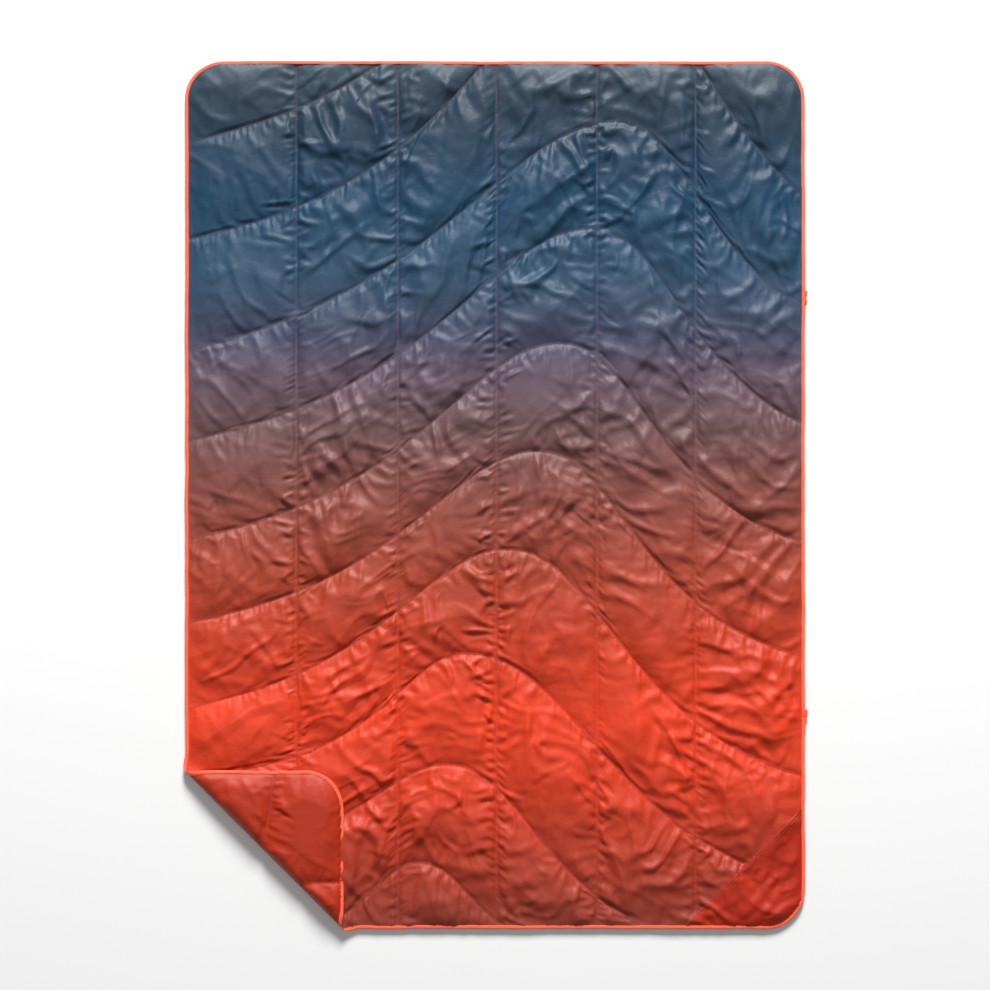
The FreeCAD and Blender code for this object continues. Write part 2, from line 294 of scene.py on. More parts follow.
def crumple(x, y, rng):
    """Sharp-crested folds in patches, each patch with its own direction, as in thin cloth over a batt."""
    out = np.zeros(x.shape)
    away, bent, crest, trough = 40, 0.007, 0.5, -0.3
    for degrees, long, short, strength in CRUMPLES:
        a = math.radians(degrees)
        bend, shift = (bent * noise(x.shape, (34, 24), rng) for _ in range(2))
        s, u = x * math.cos(a) + y * math.sin(a) + bend, y * math.cos(a) - x * math.sin(a) + shift
        patch = patches(x.shape, (13, 9), rng, mean=0.60, spread=0.70, least=0.1, most=1.5)
        ridge = np.maximum(crest - np.abs(lattice(s / long + away, u / short + away, rng)), trough)
        out += strength * short / FULL_WIDTH * patch * ridge
    return out


def wave_angle(wave, x):
    reach = 0.01
    return math.atan2(wave_y(wave, x + reach) - wave_y(wave, x - reach), 2 * reach)


def column_rays(rng):
    """Short creases that start on the straight seams. Each crease is its start's x and y, its angle, its half
    length, its width, its height and its bow."""
    step, share = 0.020, 0.72
    for column in COLUMNS:
        for y in np.arange(-HALF_L, HALF_L, step):
            for side in (0, math.pi):
                half, tilt, width, height, luck = rng.random(5)
                if luck < share:
                    yield (column, y + step * tilt, side + (tilt - 0.5) * 1.4, 0.010 + 0.032 * half**2,
                           0.0032 + 0.0030 * width, 0.0012 + 0.0024 * height, (luck - 0.35) * 0.4)


def wave_rays(rng):
    """Short creases that start on the waves, most of them downwards."""
    step, share_down, share_up = 0.022, 0.75, 0.15
    for wave in WAVES:
        for x in np.arange(-HALF_W, HALF_W, step):
            half, tilt, width, height, luck = rng.random(5)
            down = wave_angle(wave, x) - math.pi / 2 + (tilt - 0.5) * 0.8
            if luck < share_down:
                yield (x, wave_y(wave, x), down, 0.012 + 0.036 * half**2, 0.0030 + 0.0035 * width,
                       0.0006 + 0.0018 * height, (luck - 0.4) * 0.4)
            elif luck > 1 - share_up:
                yield x, wave_y(wave, x), down + math.pi, 0.010 + 0.02 * half, 0.004, 0.0010, 0


def cell_folds(rng):
    """Slanting folds in the middle of the cells, lower beside the left edge."""
    step, per_step, edge_share = 0.052, 2, 0.45
    for wave in WAVES:
        for x in np.arange(-HALF_W, HALF_W, step):
            for _ in range(per_step):
                half, tilt, width, height, luck, drop = rng.random(6)
                angle = 0.8 * wave_angle(wave, x) - math.pi / 2 + (tilt - 0.5) * 1.5
                calm = edge_share if x < COLUMNS[0] else 1.0
                yield (x + 0.05 * luck, wave_y(wave, x) - 0.03 - 0.15 * drop, angle,
                       0.014 + 0.036 * half**1.5, 0.0045 + 0.0075 * width * half,
                       (0.0012 + 0.0034 * height) * calm, (luck - 0.5) * 0.8)


def cell_creases(x, y, rng):
    """All the longer creases of one face, which is calmer in some places than in others."""
    out = np.zeros(x.shape)
    calm = patches(x.shape, (9, 6), rng, mean=0.75, spread=0.55, least=0.15, most=1.6)
    for px, py, angle, half, width, height, bow in (*column_rays(rng), *wave_rays(rng), *cell_folds(rng)):
        if abs(px) > HALF_W or abs(py) > HALF_L:
            continue
        column = min(np.searchsorted(x[0], px), x.shape[1] - 1)
        row = np.abs(y[:, column] - py).argmin()
        centre = px + half * math.cos(angle), py + half * math.sin(angle)
        crease(x, y, centre, angle, half, width, height * calm[row, column], bow, out)
    return out


def links(rows, cols, down, right):
    """Slices that pair each grid point with the one down rows and right columns on. Within one pair of
    slices no point comes up twice, so they can all be moved at once."""
    def cut(n, d, start, step):
        first = slice(max(0, -d) + start, n - max(0, d), step)
        count = len(range(*first.indices(n)))
        return first, slice(first.start + d, first.start + d + (count - 1) * step + 1, step), count

    for phase in (0, 1):
        ra, rb, n = cut(rows, down, phase if down else 0, 2 if down else 1)
        ca, cb, m = cut(cols, right, 0 if down else phase, 1 if down else 2)
        if n > 0 and m > 0:
            yield (slice(None), ra, ca), (slice(None), rb, cb)


def bonds_between(slack, free, spare_x, spare_y, spare_shear):
    """The cloth's threads: the points that each pair of slices ties, their distance in slack, their spare
    length and how much each end gives way."""
    both = (spare_x + spare_y) / 2
    bonds = []
    for down, right, spare, firm in ((0, 1, spare_x, 1.0), (1, 0, spare_y, 1.0),
                                     (1, 1, both + spare_shear, 0.4), (1, -1, both - spare_shear, 0.4)):
        for a, b in links(*free.shape, down, right):
            length = np.sqrt(((slack[a] - slack[b]) ** 2).sum(0))
            wa, wb = free[a[1:]] * 1.0, free[b[1:]] * 1.0
            total = np.maximum(wa + wb, 1e-9)
            bonds.append([a, b] + [v.astype(np.float32) for v in (
                length, (spare[a[1:]] + spare[b[1:]]) / 2, firm * wa / total, firm * wb / total)])
    return bonds


def relax(p, free, target, low, spare_x, spare_y, spare_shear, smooth, slip):
    """Lets the cloth p settle. It has spare length, its seams are held, and the batt pushes it to target.
    smooth is the cloth's stiffness against small ripples, as differences from target, and slip is how far
    it may slide sideways."""
    damping, push, sink = 0.9, 0.016, 0.3
    p, target, low = p.astype(np.float32), target.astype(np.float32), low.astype(np.float32)
    start = p[:2].copy()
    bonds = bonds_between(np.stack([p[0], p[1], target]), free, spare_x, spare_y, spare_shear)
    soft = (smooth * free).astype(np.float32)[1:-1, 1:-1]
    speed = np.zeros_like(p)
    for step in range(SETTLE_STEPS):
        grown = min(1, (step + 1) / GROW_STEPS)
        speed *= damping
        speed[2] += push * (target - p[2]) * np.where(p[2] < target, 1, sink)
        speed[:, ~free] = 0
        before = p.copy()
        p += speed
        for a, b, length, spare, ka, kb in bonds:
            d = p[b] - p[a]
            pull = 1 - length * (1 + spare * grown) / (np.sqrt((d * d).sum(0)) + 1e-9)
            p[a] += d * (ka * pull)
            p[b] -= d * (kb * pull)
        p[:2] = np.clip(p[:2], start - slip, start + slip)
        z = p[2] - target
        around = (z[1:-1, :-2] + z[1:-1, 2:] + z[:-2, 1:-1] + z[2:, 1:-1]) / 4
        z[1:-1, 1:-1] += soft * (around - z[1:-1, 1:-1])
        p[2] = np.where(free, np.maximum(z + target, low), p[2])
        speed = p - before
    return p.astype(float)


def seam_waviness(shape):
    """How far the seams lie above or below their mean height. Both faces share it, with opposite signs."""
    height, bumps = 0.0010, (80, 50)
    return height * noise(shape, bumps, np.random.default_rng(1))


def settled(p, fixed, target, base, puff, distances, rng):
    """The face p after it has settled, with spare length that the thread gathers beside the seams."""
    to_seam, to_column, to_upper = distances
    shape = fixed.shape
    uneven = patches(shape, (26, 26), rng, mean=0.6, spread=0.6, least=0, most=2)
    spare_x = SPARE + GATHER * np.exp(-to_upper / WAVE_GATHER_REACH) * uneven
    uneven = patches(shape, (60, 14), rng, mean=0.6, spread=0.6, least=0, most=2)
    spare_y = SPARE + GATHER * np.exp(-to_column / COLUMN_GATHER_REACH) * uneven
    shear = 0.02 * noise(shape, (18, 12), rng)
    stiff_at_seam, stiff_added, stiff_reach = 0.02, 0.28, 0.03
    stiff = stiff_at_seam + stiff_added * (1 - np.exp(-((to_seam / stiff_reach) ** 2)))
    slip = (SLIP * (0.1 + 0.9 * rise(to_seam - 0.003, 0.006))).astype(np.float32)
    least_share, dip = 0.3, 0.002
    low = np.maximum(base - dip, base + least_share * puff)
    return relax(p, ~fixed, target, low, spare_x, spare_y, shear, stiff, slip)


def quilted(seed, seam, rim, panel):
    """One face of the quilt as x, y and height (z for the front, n for the back), on the sheet's grid. The
    batt puffs it up between the seams, and the thread gathers it beside them."""
    rim_reach, uneven_loft, sideways, unrest = 0.006, 0.14, 0.0011, 0.0007
    ray_fade, crumple_fade, rim_fade = 0.008, 0.016, 0.012
    rng = np.random.default_rng(seed)
    x, y, past, dome, row_wave, seam_columns = sheet_grid(GRID_STEP)
    held = past.copy()
    held[:, [0, -1]] = True
    sewn = np.zeros_like(held)
    sewn[row_wave >= 0] = True
    sewn[:, seam_columns] = True
    sewn &= ~held
    to_column, to_wave, to_upper = seam_distances(x, y)
    to_seam = np.minimum(to_column, to_wave)
    if panel:
        plain, plain_distance, plain_dome = under_panel(x, y), 0.012, 0.5
        sewn &= ~plain
        to_seam = np.where(plain, np.maximum(to_seam, plain_distance), to_seam)
        dome = np.where(plain, np.maximum(dome, plain_dome), dome)
    inside = edge_distance(x, y) - CLOTH_INSET
    base = seam + (rim - seam) * np.exp(-np.maximum(inside, 0) / rim_reach)
    puff = LOFT * rise(inside, RIM_RISE) * ((1 - DOMED) * rise(to_seam, SEAM_RISE) + DOMED * dome)
    left_calm = 1 - 0.55 * ease((COLUMNS[0] - x) / 0.03)
    folds = cell_creases(x, y, rng) * rise(to_seam, ray_fade)
    folds += CRUMPLE * crumple(x, y, rng) * left_calm * rise(to_seam, crumple_fade)
    target = base + puff * (1 + uneven_loft * noise(x.shape, (30, 18), rng)) + folds * rise(inside, rim_fade)
    p = np.stack([x, y, target])
    jitter = sideways * noise(x.shape, (90, 50), rng) * sewn
    seam_z = base + seam_waviness(x.shape) * sewn * (1 if panel else -1)
    p[2] += unrest * rng.standard_normal(x.shape)
    fixed = held | sewn
    p[0] += jitter
    p[2][fixed] = seam_z[fixed]
    p = settled(p, fixed, target, base, puff, (to_seam, to_column, to_upper), rng)
    return p, held, row_wave, seam_columns


# ---- meshes
def new_piece(name, points, faces, material):
    mesh = bpy.data.meshes.new(name)
    mesh.from_pydata([tuple(v) for v in np.asarray(points).tolist()], [], faces)
    mesh.update()
    piece = bpy.data.objects.new(name, mesh)
    bpy.context.scene.collection.objects.link(piece)
    mesh.materials.append(material)
    mesh.shade_smooth()
    return piece


def grid_faces(rows, cols, keep, all_corners=False):
    """Quads of a grid of points with any corner, or all of them, where keep is true."""
    i = np.arange(rows * cols).reshape(rows, cols)
    quads = np.stack([i[:-1, :-1], i[:-1, 1:], i[1:, 1:], i[1:, :-1]], -1)
    kept = sum(part.astype(int) for part in (keep[:-1, :-1], keep[:-1, 1:], keep[1:, 1:], keep[1:, :-1]))
    return quads[kept >= (4 if all_corners else 1)]


def tube(name, rings, material):
    """A piece through rings of points, as an array of rings by points by 3, with flat ends."""
    ids = np.arange(rings[..., 0].size).reshape(rings.shape[:2])
    nxt = np.roll(ids, -1, 1)
    faces = np.stack([ids[:-1], ids[1:], nxt[1:], nxt[:-1]], -1).reshape(-1, 4).tolist()
    faces += [ids[0].tolist(), ids[-1][::-1].tolist()]
    return new_piece(name, rings.reshape(-1, 3), faces, material)


def cut_flat(points, quads, cuts):
    """The mesh on the positive side of each cut, a (point, direction) pair in the flat sheet."""
    mesh = bpy.data.meshes.new("cut")
    mesh.from_pydata(points.tolist(), [], quads.tolist())
    bm = bmesh.new()
    bm.from_mesh(mesh)
    bmesh.ops.delete(bm, geom=[v for v in bm.verts if not v.link_faces], context="VERTS")
    for point, direction in cuts:
        bmesh.ops.bisect_plane(bm, geom=bm.verts[:] + bm.edges[:] + bm.faces[:], dist=SNAP,
                               plane_co=point, plane_no=direction, clear_inner=True)
    bm.verts.index_update()
    co = np.array([v.co[:] for v in bm.verts])
    faces = [[v.index for v in f.verts] for f in bm.faces]
    bm.free()
    bpy.data.meshes.remove(mesh)
    return co, faces


def fold_cut(offset, sign):
    """A cut along the fold line, offset from it towards the blanket; sign -1 keeps the corner's side."""
    step = offset / ROOT2
    return (FOLD_SUM / 2 + step, FOLD_SUM / 2 + step, 0), (sign, sign, 0)


def flip(faces):
    return [f[::-1] for f in faces]


def made_closed(top, bottom, faces):
    """A closed skin: faces over the points of top, the same over bottom, and a wall round the open edges."""
    n = len(top)
    seen = dict.fromkeys(edge for f in faces for edge in zip(f, f[1:] + f[:1]))
    walls = [[b, a, a + n, b + n] for a, b in seen if (b, a) not in seen]
    return np.vstack([top, bottom]), faces + [[i + n for i in f[::-1]] for f in faces] + walls


# ---- front, back and the folded corner
def front_heights(p):
    """The front cloth's final heights: raised along the fold, and pressed where the corner lies on it."""
    x, y, z = p
    d, inside = across_fold(x, y), edge_distance(x, y)
    inside_flap = edge_distance(FOLD_SUM - y, FOLD_SUM - x)
    beyond, press_reach, free_rise, rim_end, rim_reach = 0.004, 0.03, 0.01, 0.009, 0.022
    pressed = ease((inside_flap + beyond) / press_reach)
    z = np.minimum(z, HINGE_Z - PRESSED_UNDER + (1 - pressed) * free_rise)
    z = np.where(inside < TAPE_STRIP, np.minimum(z, MID + UNDER_TAPE), z)
    middle = ease((inside - rim_end) / rim_reach)
    nose = 1 - np.sqrt(1 - np.clip((ROLL - np.abs(d)) / (ROLL - NOSE_TOP), 0, 1) ** 2)
    ridge = np.exp(-((np.maximum(np.abs(d) - RIDGE_TOP, 0) / RIDGE_FLANK) ** 2))
    raised = ridge * middle + nose * (1 - middle)
    return np.stack([x, y, z + (HINGE_Z + RIDGE_OVER - z) * raised])


def back_heights(p):
    """The back cloth's final heights as z: just above the floor, and freer to bulge on the folded corner."""
    x, y, n = p
    d = across_fold(x, y)
    corner_adds, over, share, rim, rim_reach = 0.006, 0.03, 0.5, 0.004, 0.016
    n = np.minimum(n, BACK_BULGE + corner_adds * ease(-d / over))
    n = np.where(edge_distance(x, y) < TAPE_STRIP, np.minimum(n, UNDER_TAPE), n)
    softened = share * np.exp(-((d / ROLL) ** 2)) * rise(edge_distance(x, y) - rim, rim_reach)
    return np.stack([x, y, MID - n - softened * np.maximum(BACK_BULGE - n, 0)])


def shell_sheets(front, back, held):
    """Each shell cut at the fold into the blanket's part and the corner's, as its points, faces, material,
    body and CAD node. Only the corner's back is outer cloth, so it alone goes round the fold."""
    quads = grid_faces(*held.shape, ~held)
    points = front.reshape(3, -1).T
    sheets = {}
    co, faces = cut_flat(points, quads, [fold_cut(0, 1)])
    sheets["front_shell_cloth"] = (co, flip(faces), "front", "blanket", "front_shell")
    co, faces = cut_flat(points, quads, [fold_cut(0, -1)])
    sheets["corner_front_cloth"] = (folded(*co.T), flip(faces), "front_turned", "folded_corner",
                                    "corner_front_shell")
    points = back.reshape(3, -1).T
    co, faces = cut_flat(points, quads, [fold_cut(ROLL, 1)])
    over_nose, nose_edge, nose_reach = 0.0011, 0.020, 0.03
    co[:, 2] += over_nose * (1 - ease((across_fold(co[:, 0], co[:, 1]) - nose_edge) / nose_reach))
    sheets["back_shell_cloth"] = (co, faces, "back", "blanket", "back_shell")
    co, faces = cut_flat(points, quads, [fold_cut(ROLL_TUCK, -1)])
    sheets["corner_back_cloth"] = (folded(*co.T, roll=True), faces, "back", None, "corner_back_shell")
    return sheets


def make_shells(front, back, held, mats):
    corner_leg = FOLD_SUM + HALF_W + HALF_L
    size, corner_size = (2 * HALF_W, 2 * HALF_L), (corner_leg, corner_leg)
    for name, (co, faces, look, body, node) in shell_sheets(front, back, held).items():
        piece = new_piece(name, co, faces, mats[look])
        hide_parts(node)
        carry(piece, body)
        corner = name.startswith("corner")
        corner_size if corner else size


def carry(piece, body):
    """Rides a piece on its body. One with no body, such as a piece that goes round the fold, stays where it
    is made, with its placement baked into its points."""
    if body:
        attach(piece, body)
    else:
        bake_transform(piece)


def make_panel(front, held, mats):
    """The plain corner patch, sewn on over the front cloth of the lower right corner."""
    points = front.reshape(3, -1).T.copy()
    lift, lift_under_tape, cloth = 0.0008, 0.0002, 0.0005
    points[:, 2] += np.where(edge_distance(points[:, 0], points[:, 1]) < TAPE_STRIP, lift_under_tape, lift)
    reach = (HALF_W + HALF_L - PANEL_LEG) / 2
    co, faces = cut_flat(points, grid_faces(*held.shape, ~held), [((reach, -reach, 0), (1, -1, 0))])
    panel = new_piece("corner_patch", co, flip(faces), mats["panel"])
    thick = panel.modifiers.new("thickness", "SOLIDIFY")
    thick.thickness, thick.offset = cloth, 0
    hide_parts("corner_panel")
    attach(panel, "blanket")


def make_batts(mats):
    """The insulation between the shells, thinner than they are, in one part each side of the fold."""
    step, half, middle_z, apart, rim = 0.012, 0.0014, 0.0078, 0.001, 0.006
    x, y, *_ = sheet_grid(step)
    to_column, to_wave, _ = seam_distances(x, y)
    puff = rise(np.minimum(to_column, to_wave), SEAM_RISE) * rise(edge_distance(x, y) - rim, RIM_RISE)
    least_puff, fold_gap = 0.6, 0.016
    filled = (puff > least_puff) & (np.abs(across_fold(x, y)) > fold_gap)
    points = np.stack([x, y, half * puff], -1).reshape(-1, 3)
    for name, sign, body, node in (("batt", 1, "blanket", "insulation"),
                                   ("corner_batt", -1, "folded_corner", "corner_insulation")):
        quads = grid_faces(*x.shape, filled, all_corners=True)
        co, faces = cut_flat(points, quads, [fold_cut(apart * sign, sign)])
        top, bottom = (folded(co[:, 0], co[:, 1], middle_z + side * co[:, 2]) for side in (1, -1))
        if sign < 0:
            top, bottom = bottom, top
        piece = new_piece(name, *made_closed(top, bottom, flip(faces)), mats["batt"])
        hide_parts(node)
        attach(piece, body)


# ---- binding
def outline():
    """Points round the blanket's edge with the inward directions, starting at the left end of the fold and
    going up the left side, so that the folded corner comes last."""
    corners = [(-1, 1), (1, 1), (1, -1), (-1, -1)]
    points, inward = [], []
    straight = [(HALF_L - CORNER_R) * 2, (HALF_W - CORNER_R) * 2] * 2
    for (sx, sy), length, heading in zip(corners, straight, (90, 0, -90, 180)):
        h = math.radians(heading)
        along, inner = np.array([math.cos(h), math.sin(h)]), np.array([math.sin(h), -math.cos(h)])
        centre = np.array([sx * (HALF_W - CORNER_R), sy * (HALF_L - CORNER_R)])
        run = np.arange(-length, 0, TAPE_STEP)[:, None]
        points.append(centre - CORNER_R * inner + run * along)
        inward.append(np.repeat(inner[None], len(run), 0))
        a = np.linspace(0, math.pi / 2, TURN_POINTS)[:-1, None]
        turn = np.cos(a) * inner + np.sin(a) * -along
        points.append(centre - CORNER_R * turn)
        inward.append(turn)
    points, inward = np.vstack(points), np.vstack(inward)
    start = fold_crossing(points, points[:, 0] < BESIDE_EDGE - HALF_W)
    points, inward = np.roll(points, -start, 0), np.roll(inward, -start, 0)
    return np.vstack([points, points[:1]]), np.vstack([inward, inward[:1]])


def fold_crossing(points, among):
    """The index of the point nearest the fold line, among those picked."""
    return int(np.where(among, np.abs(across_fold(*points.T)), FAR).argmin())


GROOVE = 5  # the point of the tape's section where its stitches lie


def tape_shape():
    """The binding's section as (distance in from the edge, height over its middle), all round."""
    upper = [(0.0000, 0.0004), (0.0004, 0.0011), (0.0012, 0.0016), (0.0026, 0.0018), (0.0043, 0.0017),
             (0.0050, 0.00145), (0.0057, 0.0017), (0.0065, 0.0015), (TAPE_LEG, 0.0010)]
    return np.array(upper + [(u, -w) for u, w in upper[::-1]])


def tape_waviness(s):
    """How far the binding strays inwards and upwards at the distances s along it, and not at its ends."""
    rng = np.random.default_rng(11)
    calm = ease(s / 0.05) * ease((s[-1] - s) / 0.05)
    bow = (0.0005 * wobble(s, 0.07, rng) + 0.0002 * wobble(s, 0.017, rng)) * calm
    lift = (0.0006 * wobble(s, 0.06, rng) + 0.0002 * wobble(s, 0.015, rng)) * calm
    return np.clip(bow, -0.0008, 0.0012), np.clip(lift, -0.0005, 0.0012)


def tape_place(points, inward, bow, lift, u, w):
    """Flat places u in from the edge and w over the tape's middle, with its slight waviness."""
    return (*(points + inward * (u + bow)[:, None]).T, MID + w + lift)


def sharp_ends(piece):
    """Keeps the shading of the last two faces, the flat ends, apart from the sides'."""
    mesh = piece.data
    for end in list(mesh.polygons)[-2:]:
        for loop in end.loop_indices:
            mesh.edges[mesh.loops[loop].edge_index].use_edge_sharp = True


def make_binding(mats):
    """The binding and its stitches: one piece along the blanket, one along the corner, and one round each
    end of the fold."""
    points, inward = outline()
    s = np.concatenate([[0], np.cumsum(np.hypot(*np.diff(points, axis=0).T))])
    bow, lift = tape_waviness(s)
    section = tape_shape()
    rings = np.stack([folded(*tape_place(points, inward, bow, lift, u, w), roll=True) for u, w in section], 1)
    right_end = fold_crossing(points, points[:, 1] < BESIDE_EDGE - HALF_L)
    reach = round(TURN_REACH / TAPE_STEP)
    last = len(points) - 1
    spans = {
        "edge_binding_tape": (reach, right_end - reach, "edge_binding", "blanket"),
        "fold_end_right_tape": (right_end - reach, right_end + reach, None, None),
        "corner_binding_tape": (right_end + reach, last - reach, "corner_edge_binding", "folded_corner"),
        "fold_end_left_tape": (last - reach, last + reach, None, None),
    }
    threads = {"edge_binding_tape": "binding_thread", "corner_binding_tape": "corner_binding_thread"}
    for name, (first, end, node, body) in spans.items():
        index = np.arange(first, end + 1) % last
        tape = tube(name, rings[index], mats["binding"])
        sharp_ends(tape)
        stitches = [stitch_row(rings[index, groove]) for groove in (GROOVE, len(section) - 1 - GROOVE)]
        thread = new_piece(name.replace("tape", "stitches"), *joined(stitches), mats["binding_thread"])
        for piece, slot, replaced in ((tape, "binding", node), (thread, "binding_thread", threads.get(name))):
            if replaced:
                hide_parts(replaced)
            carry(piece, body)


# ---- stitches
def joined(parts):
    points, faces, offset = [], [], 0
    for co, quads in parts:
        if len(co):
            points.append(co)
            faces += [[i + offset for i in f] for f in quads]
            offset += len(co)
    return np.vstack(points), faces


def stitch_row(path, lift=0.0):
    """A row of stitches along a path: short rounded lengths of thread with gaps between them."""
    s = np.concatenate([[0], np.cumsum(np.linalg.norm(np.diff(path, axis=0), axis=1))])
    pitch = STITCH + STITCH_GAP
    count = int(s[-1] / pitch)
    if count < 1:
        return np.zeros((0, 3)), []
    first_gap, slack, sides = 0.2, 0.00025, 4
    starts = (np.arange(count) + first_gap) * pitch
    at = lambda t: np.stack([np.interp(t, s, path[:, k]) for k in range(3)], -1)
    a, b = at(starts), at(starts + STITCH)
    along = (b - a) / np.linalg.norm(b - a, axis=1)[:, None]
    side = np.stack([-along[:, 1], along[:, 0], np.zeros(count)], -1)
    side /= np.linalg.norm(side, axis=1)[:, None] + 1e-9
    up = np.cross(along, side)
    up *= np.sign(up[:, 2:] + 1e-9)
    shape = ((0, 0.15), (0.18, 1.0), (0.82, 1.0), (1, 0.15))
    rings = []
    for f, thickness in shape:
        centre = a + (b - a) * f + up * (lift + slack * math.sin(math.pi * f))
        for k in range(sides):
            angle = math.pi / 4 + k * math.pi / 2
            rings.append(centre + THREAD * thickness * (side * math.cos(angle) + up * math.sin(angle)))
    co = np.stack(rings, 1)
    faces = []
    for i in range(count):
        first = i * sides * len(shape)
        last = first + sides * (len(shape) - 1)
        for q in range(first, last, sides):
            for k in range(sides):
                after = (k + 1) % sides
                faces.append([q + k, q + after, q + sides + after, q + sides + k])
        faces += [[first + k for k in reversed(range(sides))], [last + k for k in range(sides)]]
    return co.reshape(-1, 3), faces


def seam_paths(p, held, row_wave, seam_columns, skip_panel):
    """Each quilting seam as a path on the cloth p, in the flat sheet, with its ends inside the binding."""
    lines = [(p[:, :, c].T, held[:, c]) for c in seam_columns]
    lines += [(p[:, r].T, held[r]) for r in np.flatnonzero(row_wave >= 0)]
    for line, ends in lines:
        good = ~ends & (edge_distance(line[:, 0], line[:, 1]) > TAPE_LEG)
        if skip_panel:
            good &= ~under_panel(line[:, 0] + 0.002, line[:, 1] - 0.002)
        line = line[good]
        if len(line) > 2:
            yield line


def split_path(path, offset):
    """The runs of a path on the blanket's side of a line along the fold, and those on the corner's side."""
    corner = across_fold(path[:, 0], path[:, 1]) < offset
    edges = np.flatnonzero(np.diff(corner)) + 1
    for run in np.split(path, edges):
        if len(run) > 2:
            yield run, across_fold(run[0, 0], run[0, 1]) < offset


def make_quilt_stitches(front, back, held, row_wave, seam_columns, mats):
    groups = {"front": [], "front_corner": [], "back": [], "back_corner": []}
    for face, cloth, split, lift in (("front", front, 0, SEAM_LIFT), ("back", back, BACK_SPLIT, -SEAM_LIFT)):
        for path in seam_paths(cloth, held, row_wave, seam_columns, skip_panel=face == "front"):
            for run, corner in split_path(path, split):
                if corner:
                    groups[face + "_corner"].append(stitch_row(folded(*run.T, roll=face == "back"), -lift))
                else:
                    groups[face].append(stitch_row(run, lift))
    places = {"front": ("blanket", ["quilt_thread_columns", "quilt_thread_waves"]), "back": ("blanket", []),
              "front_corner": ("folded_corner", ["corner_quilt_thread"]), "back_corner": (None, [])}
    for name, rows in groups.items():
        body, nodes = places[name]
        piece = new_piece("quilt_stitches_" + name, *joined(rows), mats["quilt_thread"])
        if nodes:
            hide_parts(*nodes)
        carry(piece, body)


def make_panel_stitches(front, mats):
    """Two rows beside the patch's slanting edge."""
    insets, over_cloth, step, left_gap, right_gap = (0.002, 0.007), 0.0013, 0.004, 0.012, 0.009
    rows = []
    x, y, z = (a.ravel() for a in front)
    for inset in insets:
        reach = HALF_W + HALF_L - PANEL_LEG + inset * ROOT2
        lead = np.arange(HALF_W - PANEL_LEG + left_gap, HALF_W - right_gap, step)
        line = np.stack([lead, lead - reach], -1)
        near = [np.argmin((x - a) ** 2 + (y - b) ** 2) for a, b in line]
        rows.append(stitch_row(np.column_stack([line, z[near] + over_cloth])))
    piece = new_piece("patch_stitches", *joined(rows), mats["panel_thread"])
    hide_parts("panel_thread")
    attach(piece, "blanket")


# ---- tabs on the right edge
def webbing(name, path, y_mid, width, half, material):
    """A woven tape along a path of (x, z) points, with its width along Y and rounded edges."""
    path = np.array(path)
    tangent = np.gradient(path, axis=0)
    tangent /= np.linalg.norm(tangent, axis=1)[:, None]
    normal = np.stack([-tangent[:, 1], tangent[:, 0]], -1)
    w = width / 2
    section = [(-w, 0), (-w + half, half), (w - half, half), (w, 0), (w - half, -half), (-w + half, -half)]
    rings = [[(x + nx * h, y_mid + v, z + nz * h) for v, h in section]
             for (x, z), (nx, nz) in zip(path, normal)]
    piece = tube(name, np.array(rings), material)
    bevel = piece.modifiers.new("soft edges", "BEVEL")
    bevel.width, bevel.segments, bevel.limit_method = half * 0.3, 2, "ANGLE"
    return piece


def make_loop(mats):
    """The woven loop, sewn into the binding by its two ends."""
    low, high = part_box("loop_tape")
    half = 0.0004
    reach, z = high[0] - half, (low[2] + high[2]) / 2
    radius = (high[2] - low[2]) / 2 - half
    inner = reach - radius
    turn = np.linspace(math.pi / 2, -math.pi / 2, 15)
    arc = [(inner + radius * math.cos(t), z + radius * math.sin(t)) for t in turn]
    path = [(HALF_W - 0.006, z + 0.0022), (HALF_W - 0.002, z + 0.0023), (inner - 0.001, z + radius)]
    path += arc + [(x, 2 * z - height) for x, height in path[::-1]]
    loop = webbing("hang_loop", path, (low[1] + high[1]) / 2, high[1] - low[1], half, mats["tape"])
    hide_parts("loop_tape")
    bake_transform(loop)


# ---- materials
def shader(name, roughness, **values):
    mat = bpy.data.materials.new(name)
    mat.use_nodes = True
    bsdf = mat.node_tree.nodes["Principled BSDF"]
    bsdf.inputs["Roughness"].default_value = roughness
    for key, value in values.items():
        bsdf.inputs[key.replace("_", " ")].default_value = value
    return mat, bsdf


def node(mat, kind, links=(), **settings):
    made = mat.node_tree.nodes.new("ShaderNode" + kind)
    for key, value in settings.items():
        if key in made.inputs:
            made.inputs[key].default_value = value
        else:
            setattr(made, key, value)
    for socket, source in links:
        mat.node_tree.links.new(source, made.inputs[socket])
    return made


def linear(rgb):
    """An 8-bit screen colour as the shader's linear colour."""
    c = np.array(rgb) / 255
    return (*np.where(c <= 0.04045, c / 12.92, ((c + 0.055) / 1.055) ** 2.4).tolist(), 1.0)


def ramp(mat, source, stops):
    made = node(mat, "ValToRGB", [("Fac", source)])
    elements = made.color_ramp.elements
    while len(elements) < len(stops):
        elements.new(0.5)
    for element, (place, colour) in zip(elements, stops):
        element.position, element.color = place, colour
    return made.outputs["Color"]


